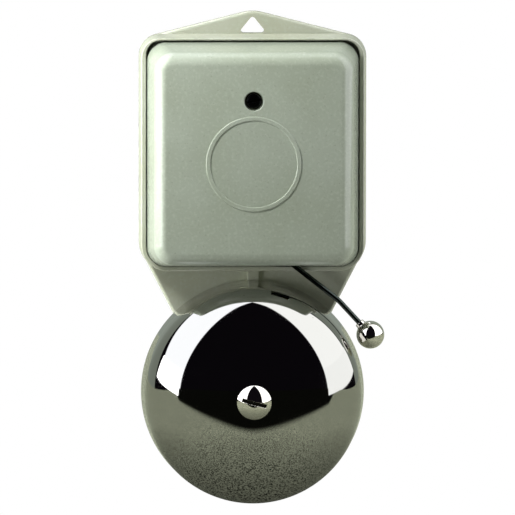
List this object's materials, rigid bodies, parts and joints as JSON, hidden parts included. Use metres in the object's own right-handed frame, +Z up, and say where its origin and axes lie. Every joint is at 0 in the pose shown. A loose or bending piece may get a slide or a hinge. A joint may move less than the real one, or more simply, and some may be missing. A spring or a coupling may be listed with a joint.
{
  "type": "electric bell",
  "caption": "Wall-mounted electric trembler bell: a moulded case with a lift-off cover, a magnet movement inside, and a hammer that strikes a domed gong below.",
  "frame": {"origin": "middle of the case's back, on the wall plane", "axes": "+Y into the wall, -Y out towards the room, +Z up, +X to the right as seen from the room"},
  "size_m": [0.0878, 0.045, 0.1762],
  "materials": {
    "ivory_case": "semi-gloss moulded plastic, ivory",
    "green_cover": "semi-gloss moulded plastic, grey green",
    "plated": "bright nickel plate",
    "zinc_steel": "zinc plated steel",
    "soft_iron": "soft iron, ground",
    "black_screw": "black oxide",
    "blued_steel": "blued steel",
    "spring_bronze": "rolled bronze strip",
    "brass": "turned brass",
    "contact_silver": "silver contact",
    "black_phenolic": "moulded phenolic",
    "bobbin_nylon": "natural nylon",
    "enamelled_wire": "wound enamelled copper wire, lacquered",
    "fibre": "vulcanised fibre",
    "red_lead": "insulated wire",
    "blue_lead": "insulated wire"
  },
  "bodies": {
    "base": {"base_plate": "ivory_case", "cover_pillar": "brass", "rear_screws": "zinc_steel", "gong": "plated", "gong_post": "zinc_steel", "gong_washer": "fibre", "gong_screw": "plated", "magnet_frame": "zinc_steel", "frame_screws": "zinc_steel", "core_upper": "soft_iron", "core_lower": "soft_iron", "bobbin_upper": "bobbin_nylon", "bobbin_lower": "bobbin_nylon", "winding_upper": "enamelled_wire", "winding_lower": "enamelled_wire", "clamp_plate": "brass", "clamp_screws": "zinc_steel", "contact_insulator": "black_phenolic", "contact_bracket": "brass", "contact_nut": "brass", "bracket_screws": "zinc_steel", "terminal_block": "black_phenolic", "terminal_plates": "brass", "block_screws": "zinc_steel", "terminal_washers": "brass", "terminal_screws": "brass", "lead_feed": "red_lead", "lead_return": "blue_lead", "lead_link": "red_lead", "lead_tail": "red_lead"},
    "hammer": {"armature": "soft_iron", "armature_spring": "spring_bronze", "contact_spring": "spring_bronze", "contact_tip": "contact_silver", "armature_rivets": "brass", "hammer_rod": "blued_steel", "hammer_ball": "plated"},
    "cover": {"cover": "green_cover", "cover_screw_washer": "plated"},
    "cover_screw": {"cover_screw": "black_screw"},
    "contact_screw": {"contact_screw": "brass"}
  },
  "joints": [
    {"name": "armature_swing", "type": "hinge", "parent": "base", "child": "hammer", "pos_m": [0.01125, -0.017, 0], "axis": [0, 1, 0], "range_deg": [0, 1.8], "stiffness_Nm_per_rad": 0.25, "springref_deg": -2.86},
    {"name": "cover_lift", "type": "slide", "parent": "base", "child": "cover", "axis": [0, -1, 0], "range_m": [0, 0.045]},
    {"name": "cover_screw_turn", "type": "hinge", "parent": "cover", "child": "cover_screw", "pos_m": [0, -0.0285, 0.0209], "axis": [0, -1, 0], "continuous": true},
    {"name": "contact_screw_turn", "type": "hinge", "parent": "base", "child": "contact_screw", "pos_m": [0.02, -0.017, -0.019], "axis": [1, 0, 0], "continuous": true}
  ]
}
